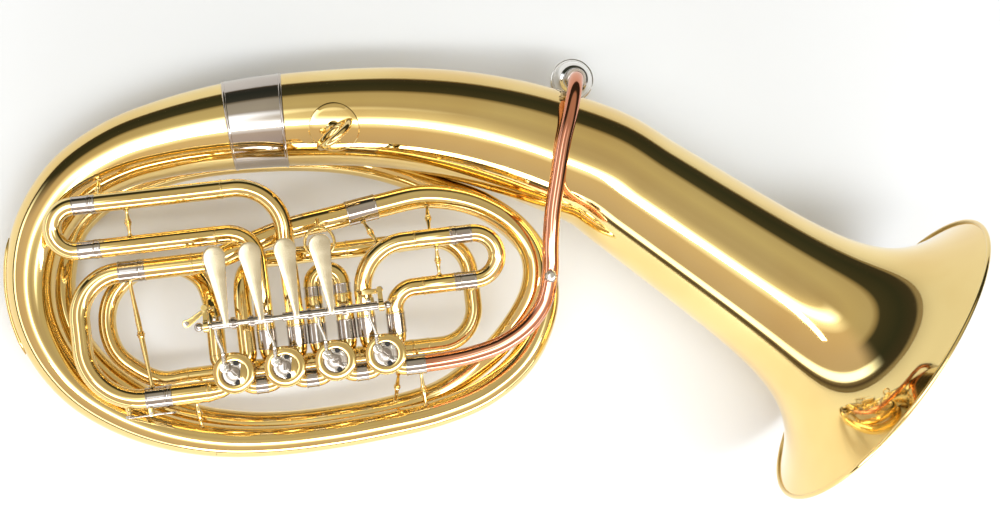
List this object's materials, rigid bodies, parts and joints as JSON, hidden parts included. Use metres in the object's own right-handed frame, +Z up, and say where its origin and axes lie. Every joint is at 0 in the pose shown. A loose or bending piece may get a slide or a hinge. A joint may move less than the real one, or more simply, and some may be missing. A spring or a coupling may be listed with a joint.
{
  "type": "euphonium",
  "caption": "Oval rotary-valve euphonium lying valve side up, with flared bell, conical bows, rotary valves, levers, slides and mouthpiece.",
  "frame": {"origin": "middle of the bounding box in plan, on the table the instrument lies on", "axes": "+X along the valve row towards the bell, +Y from the valves towards the throat of the bell, +Z up off the table, on the side of the finger levers"},
  "size_m": [0.7919, 0.4006, 0.2791],
  "materials": {
    "lacquered_brass": "clear-lacquered, polished",
    "nickel_silver": "polished nickel silver",
    "silver_plate": "polished silver plate",
    "gold_brass": "clear-lacquered, polished, reddish high-copper brass",
    "bumper_rubber": "matt black"
  },
  "bodies": {
    "body": {"bell_flare": "lacquered_brass", "bell_throat": "lacquered_brass", "garland": "nickel_silver", "outer_bow": "lacquered_brass", "right_bow": "lacquered_brass", "back_branch": "lacquered_brass", "inner_bow": "lacquered_brass", "front_bow": "lacquered_brass", "front_branch": "lacquered_brass", "guard_strip": "lacquered_brass", "strap_plate": "lacquered_brass", "strap_ring": "lacquered_brass", "ferrules": "nickel_silver", "casing_1": "lacquered_brass", "casing_2": "lacquered_brass", "casing_3": "lacquered_brass", "casing_4": "lacquered_brass", "bearing_plates": "nickel_silver", "valve_caps": "lacquered_brass", "rear_caps": "nickel_silver", "rubber_stops": "bumper_rubber", "connectors": "nickel_silver", "lever_shaft": "nickel_silver", "shaft_brackets": "lacquered_brass", "return_springs": "nickel_silver", "finger_ring": "lacquered_brass", "leadpipe": "gold_brass", "receiver": "nickel_silver", "loop_1": "lacquered_brass", "loop_2": "lacquered_brass", "loop_3": "lacquered_brass", "loop_4": "lacquered_brass", "tuning_sleeves": "lacquered_brass", "body_braces": "lacquered_brass", "drain_barrel": "nickel_silver"},
    "key_1": {"lever_1": "nickel_silver"},
    "valve_1": {"rotor_1": "nickel_silver", "stop_arm_1": "nickel_silver"},
    "link_1": {"link_1": "nickel_silver"},
    "key_2": {"lever_2": "nickel_silver"},
    "valve_2": {"rotor_2": "nickel_silver", "stop_arm_2": "nickel_silver"},
    "link_2": {"link_2": "nickel_silver"},
    "key_3": {"lever_3": "nickel_silver"},
    "valve_3": {"rotor_3": "nickel_silver", "stop_arm_3": "nickel_silver"},
    "link_3": {"link_3": "nickel_silver"},
    "key_4": {"lever_4": "nickel_silver"},
    "valve_4": {"rotor_4": "nickel_silver", "stop_arm_4": "nickel_silver"},
    "link_4": {"link_4": "nickel_silver"},
    "slide_1": {"slide_1": "lacquered_brass"},
    "slide_2": {"slide_2": "lacquered_brass"},
    "slide_3": {"slide_3": "lacquered_brass"},
    "slide_4": {"slide_4": "lacquered_brass"},
    "tuning_slide": {"tuning_slide": "lacquered_brass"},
    "water_key": {"water_key": "nickel_silver"},
    "drain_button": {"drain_button": "nickel_silver"},
    "mouthpiece": {"mouthpiece": "silver_plate"}
  },
  "joints": [
    {"name": "lever_1_press", "type": "hinge", "parent": "body", "child": "key_1", "pos_m": [-0.15537, 0.001, 0.14965], "axis": [-0.9891, 0, -0.1475], "range_deg": [0, 21.95], "stiffness_Nm_per_rad": 0.1, "springref_deg": -28.65},
    {"name": "rotor_1_turn", "type": "hinge", "parent": "body", "child": "valve_1", "pos_m": [-0.11044, -0.03724, 0.10597], "axis": [-0.1475, 0.0047, 0.9891], "range_deg": [0, 90]},
    {"name": "link_1_hinge", "type": "hinge", "parent": "key_1", "child": "link_1", "pos_m": [-0.11995, 0.00583, 0.1291], "axis": [-0.9891, 0, -0.1475], "range_deg": [-21.95, 0]},
    {"name": "lever_2_press", "type": "hinge", "parent": "body", "child": "key_2", "pos_m": [-0.18158, 0.001, 0.14574], "axis": [-0.9891, 0, -0.1475], "range_deg": [0, 21.95], "stiffness_Nm_per_rad": 0.1, "springref_deg": -28.65},
    {"name": "rotor_2_turn", "type": "hinge", "parent": "body", "child": "valve_2", "pos_m": [-0.14951, -0.03724, 0.10015], "axis": [-0.1475, 0.0047, 0.9891], "range_deg": [0, 90]},
    {"name": "link_2_hinge", "type": "hinge", "parent": "key_2", "child": "link_2", "pos_m": [-0.15902, 0.00583, 0.12327], "axis": [-0.9891, 0, -0.1475], "range_deg": [-21.95, 0]},
    {"name": "lever_3_press", "type": "hinge", "parent": "body", "child": "key_3", "pos_m": [-0.20779, 0.001, 0.14183], "axis": [-0.9891, 0, -0.1475], "range_deg": [0, 21.95], "stiffness_Nm_per_rad": 0.1, "springref_deg": -28.65},
    {"name": "rotor_3_turn", "type": "hinge", "parent": "body", "child": "valve_3", "pos_m": [-0.18857, -0.03724, 0.09432], "axis": [-0.1475, 0.0047, 0.9891], "range_deg": [0, 90]},
    {"name": "link_3_hinge", "type": "hinge", "parent": "key_3", "child": "link_3", "pos_m": [-0.19809, 0.00583, 0.11745], "axis": [-0.9891, 0, -0.1475], "range_deg": [-21.95, 0]},
    {"name": "lever_4_press", "type": "hinge", "parent": "body", "child": "key_4", "pos_m": [-0.234, 0.001, 0.13792], "axis": [-0.9891, 0, -0.1475], "range_deg": [0, 21.95], "stiffness_Nm_per_rad": 0.1, "springref_deg": -28.65},
    {"name": "rotor_4_turn", "type": "hinge", "parent": "body", "child": "valve_4", "pos_m": [-0.22764, -0.03724, 0.0885], "axis": [-0.1475, 0.0047, 0.9891], "range_deg": [0, 90]},
    {"name": "link_4_hinge", "type": "hinge", "parent": "key_4", "child": "link_4", "pos_m": [-0.23716, 0.00583, 0.11162], "axis": [-0.9891, 0, -0.1475], "range_deg": [-21.95, 0]},
    {"name": "slide_1_pull", "type": "slide", "parent": "body", "child": "slide_1", "axis": [0.9891, 0, 0.1475], "range_m": [0, 0.022]},
    {"name": "slide_2_pull", "type": "slide", "parent": "body", "child": "slide_2", "axis": [0.0007, 1, -0.0047], "range_m": [0, 0.012]},
    {"name": "slide_3_pull", "type": "slide", "parent": "body", "child": "slide_3", "axis": [-0.9891, 0, -0.1475], "range_m": [0, 0.045]},
    {"name": "slide_4_pull", "type": "slide", "parent": "body", "child": "slide_4", "axis": [0.9891, 0, 0.1475], "range_m": [0, 0.015]},
    {"name": "tuning_slide_pull", "type": "slide", "parent": "body", "child": "tuning_slide", "axis": [-0.9891, 0, -0.1475], "range_m": [0, 0.024]},
    {"name": "mouthpiece_pull", "type": "slide", "parent": "body", "child": "mouthpiece", "axis": [0.2759, 0.1322, -0.952], "range_m": [0, 0.03]},
    {"name": "water_key_press", "type": "hinge", "parent": "tuning_slide", "child": "water_key", "pos_m": [-0.29442, -0.06071, 0.07866], "axis": [-0.1475, 0.0047, 0.9891], "range_deg": [0, 6.5], "stiffness_Nm_per_rad": 0.02, "springref_deg": -20.05},
    {"name": "drain_button_press", "type": "slide", "parent": "body", "child": "drain_button", "axis": [0.2161, -0.0047, -0.9764], "range_m": [0, 0.002], "stiffness_N_per_m": 60, "springref_m": -0.004}
  ],
  "couplings": [
    {"joint": "rotor_1_turn", "follows": "lever_1_press", "ratio": 4.1004},
    {"joint": "link_1_hinge", "follows": "lever_1_press", "ratio": -1},
    {"joint": "rotor_2_turn", "follows": "lever_2_press", "ratio": 4.1004},
    {"joint": "link_2_hinge", "follows": "lever_2_press", "ratio": -1},
    {"joint": "rotor_3_turn", "follows": "lever_3_press", "ratio": 4.1004},
    {"joint": "link_3_hinge", "follows": "lever_3_press", "ratio": -1},
    {"joint": "rotor_4_turn", "follows": "lever_4_press", "ratio": 4.1004},
    {"joint": "link_4_hinge", "follows": "lever_4_press", "ratio": -1}
  ]
}
